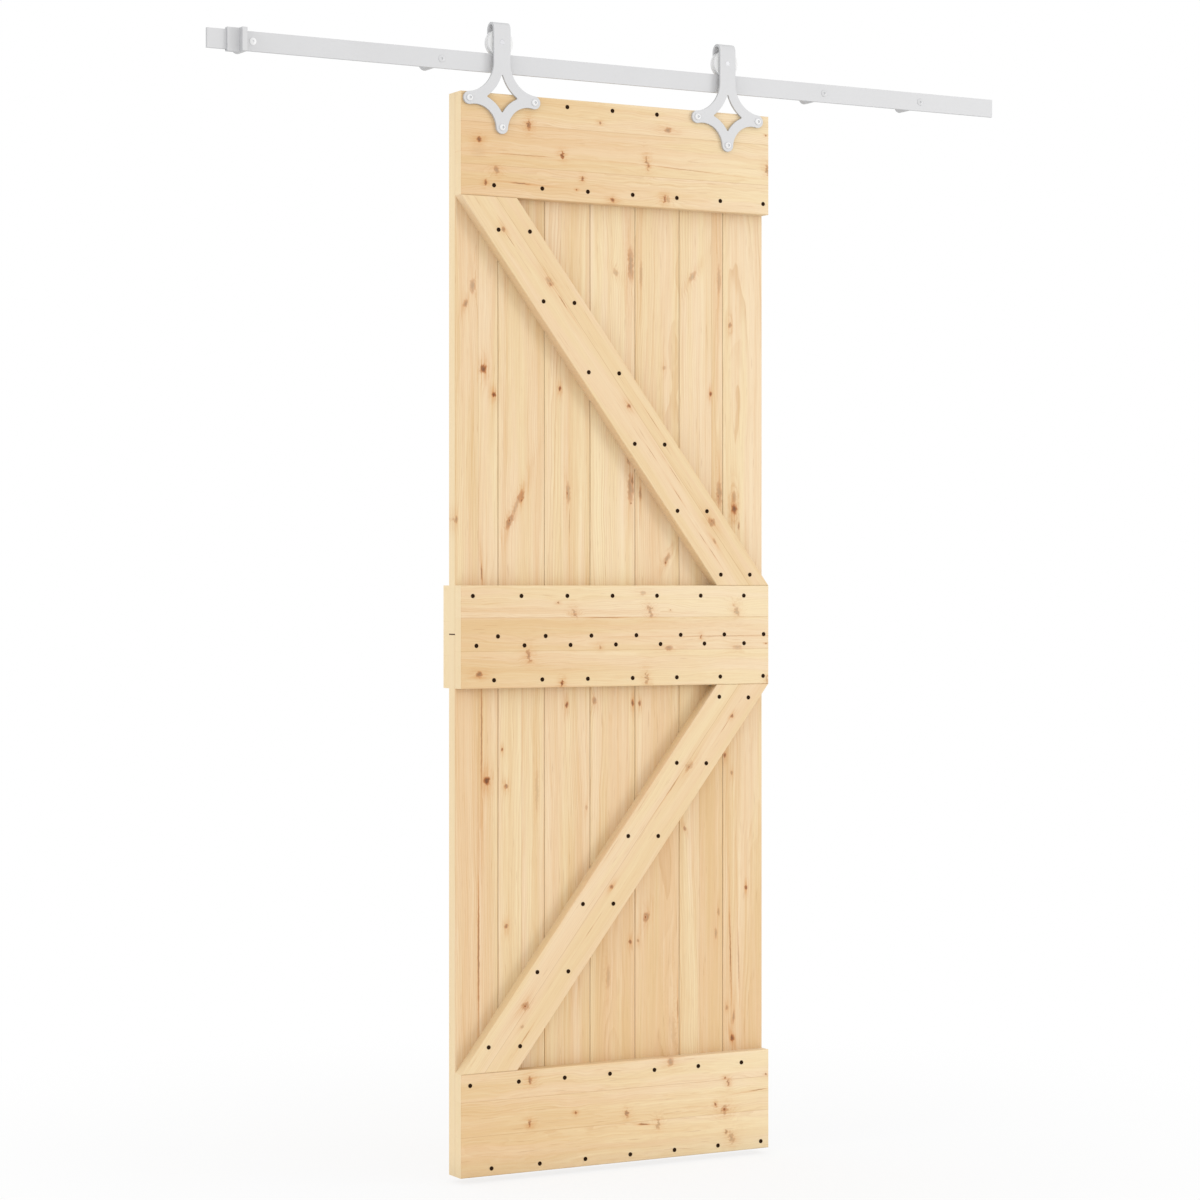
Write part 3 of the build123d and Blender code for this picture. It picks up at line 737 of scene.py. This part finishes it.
# Hangers
# Each hanger is one steel blank, cut to four hollow-sided points and bent over its wheel, then coated.
# Three dome-headed bolts hold it through the top rail and the planks behind.
dress(["left_hanger", "right_hanger"], white_steel)
nut_width = 13 * millimetre
nut_corner = nut_width / 2 / math.cos(math.pi / 6)
bolt_radius = nut_width / 2
strap_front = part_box("left_axle")[0].y
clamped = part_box("upper_plank_1")[1].y - strap_front
nut_height = 6.5 * millimetre
bolt_form = bolt_grids(
    head_radius=bolt_radius, head_rise=4.2 * millimetre, rim=1.0 * millimetre, socket=5 * millimetre,
    shank_radius=4 * millimetre, end=clamped + nut_height + 2 * millimetre,
    nut=(nut_width, clamped, nut_height),
)
for hanger_side in ("left", "right"):
    node = f"{hanger_side}_hanger_bolts"
    low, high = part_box(node)
    places = [
        (low.x + nut_corner, strap_front, high.z - bolt_radius),
        (high.x - nut_corner, strap_front, high.z - bolt_radius),
        ((low.x + high.x) / 2, strap_front, low.z + bolt_radius),
    ]
    bolts = turned_mesh(f"{hanger_side}_bolts", places, *bolt_form)
    bolts.data.materials.append(white_bolts)
    soften(bolts)
    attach(bolts, "door")
    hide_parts(node)

# Wheels and axles
# The wheels are turned from white nylon and roll on plain steel axles pressed into the straps.
# The axles' ends hardly show in the photo, so the steel is pale.
# The second colour is painted shade on the rims and edges.
white_wheels = coat("white_wheels", shade(248, 248, 247), shade(224, 224, 226), 0.1)
dress(["left_wheel", "right_wheel"], white_wheels)
# The second colour is painted shade on the sides and edges.
steel_axles = coat("steel_axles", shade(214, 214, 216), shade(200, 201, 203), 0.1)
steel_axles.node_tree.nodes["Principled BSDF"].inputs["Metallic"].default_value = 0.9
dress(["left_axle", "right_axle"], steel_axles)

# Floor, light and camera
# A pale floor lies just under the leaf, with soft light all round, a large lamp at the right
# and a weaker one at the left that fills the sides.
floor_gap = 0.012
floor_size = 14.0
floor_middle = 0.4
floor_low = cad_box[0].z - floor_gap
side = np.linspace(-floor_size / 2, floor_size / 2, 29)
floor_x, floor_y = np.meshgrid(side + floor_middle, side, indexing="ij")
floor_points = np.stack([floor_x, floor_y, np.full_like(floor_x, floor_low)], axis=-1).reshape(-1, 3)
rows = np.arange(len(side) - 1)
first = (rows[:, None] * len(side) + rows[None, :]).ravel()
floor_faces = np.stack([first, first + len(side), first + len(side) + 1, first + 1], axis=1)
floor_mesh = bpy.data.meshes.new("floor")
floor_mesh.from_pydata(floor_points.tolist(), [], floor_faces.tolist())
floor = bpy.data.objects.new("floor", floor_mesh)
bpy.context.scene.collection.objects.link(floor)


def seen(tree):
    """1 for rays that look or reflect straight at a surface, and 0 for rays that only gather light."""
    rays = place_node(tree, "LightPath").outputs
    mirrored = calc(tree, "MAXIMUM", rays["Is Glossy Ray"], rays["Is Transmission Ray"])
    return calc(tree, "MAXIMUM", rays["Is Camera Ray"], mirrored)


floor_finish = bpy.data.materials.new("floor")
floor_finish.use_nodes = True
tree = floor_finish.node_tree
paint = tree.nodes["Principled BSDF"]
paint.inputs["Base Color"].default_value = shade(240, 240, 240)
paint.inputs["Roughness"].default_value = 0.9
glow = place_node(tree, "Emission", {"Color": (1, 1, 1, 1), "Strength": 1.0}).outputs[0]
place = place_node(tree, "TexCoord").outputs["Object"]
middle = calc_vector(tree, "SUBTRACT", place, (floor_middle, 0, floor_low))
reach = place_node(tree, "VectorMath", (middle,), operation="LENGTH").outputs["Value"]
white = calc(tree, "MULTIPLY_ADD", fade(tree, reach, 0.3, 2.0), 0.2, 0.8)
whiteness = calc(tree, "MULTIPLY", white, seen(tree))
mixed = place_node(tree, "MixShader", {0: whiteness, 1: paint.outputs[0], 2: glow}).outputs[0]
tree.links.new(mixed, tree.nodes["Material Output"].inputs["Surface"])
floor_mesh.materials.append(floor_finish)

sky_level = 0.88
world = bpy.data.worlds.new("studio")
world.use_nodes = True
bpy.context.scene.world = world
sky = world.node_tree
level = place_node(sky, "Mix", {0: seen(sky), 2: sky_level, 3: 1.0}).outputs[0]
sky.nodes["Background"].inputs["Color"].default_value = (1, 1, 1, 1)
sky.links.new(level, sky.nodes["Background"].inputs["Strength"])

lamp_distance = 14.0
leaf_middle = (cad_box[0] + cad_box[1]) / 2
for name, turn, rise, width, power in (("key", 52, 6, 5.0, 400), ("fill", -78, 20, 7.0, 260)):
    turn = math.radians(turn)
    rise = math.radians(rise)
    lamp_data = bpy.data.lights.new(name, "AREA")
    lamp_data.shape = "DISK"
    lamp_data.size = width
    lamp_data.energy = power
    lamp = bpy.data.objects.new(name, lamp_data)
    lamp.location = (
        leaf_middle.x + lamp_distance * math.sin(turn) * math.cos(rise),
        leaf_middle.y - lamp_distance * math.cos(turn) * math.cos(rise),
        leaf_middle.z + lamp_distance * math.sin(rise),
    )
    lamp.rotation_euler = (math.pi / 2 - rise, 0, turn)
    bpy.context.scene.collection.objects.link(lamp)

camera_data = bpy.data.cameras.new("camera")
camera_data.lens = 94.08
camera_data.sensor_width = 36.0
camera_data.shift_x = -0.0003
camera_data.shift_y = -0.0113
camera_data.clip_end = 100
camera = bpy.data.objects.new("camera", camera_data)
camera.location = (-2.669, -5.500, -1.0077)
camera.rotation_euler = (math.pi / 2, 0, math.radians(-29.1))
bpy.context.scene.collection.objects.link(camera)
bpy.context.scene.camera = camera
bpy.context.scene.view_settings.view_transform = "Standard"
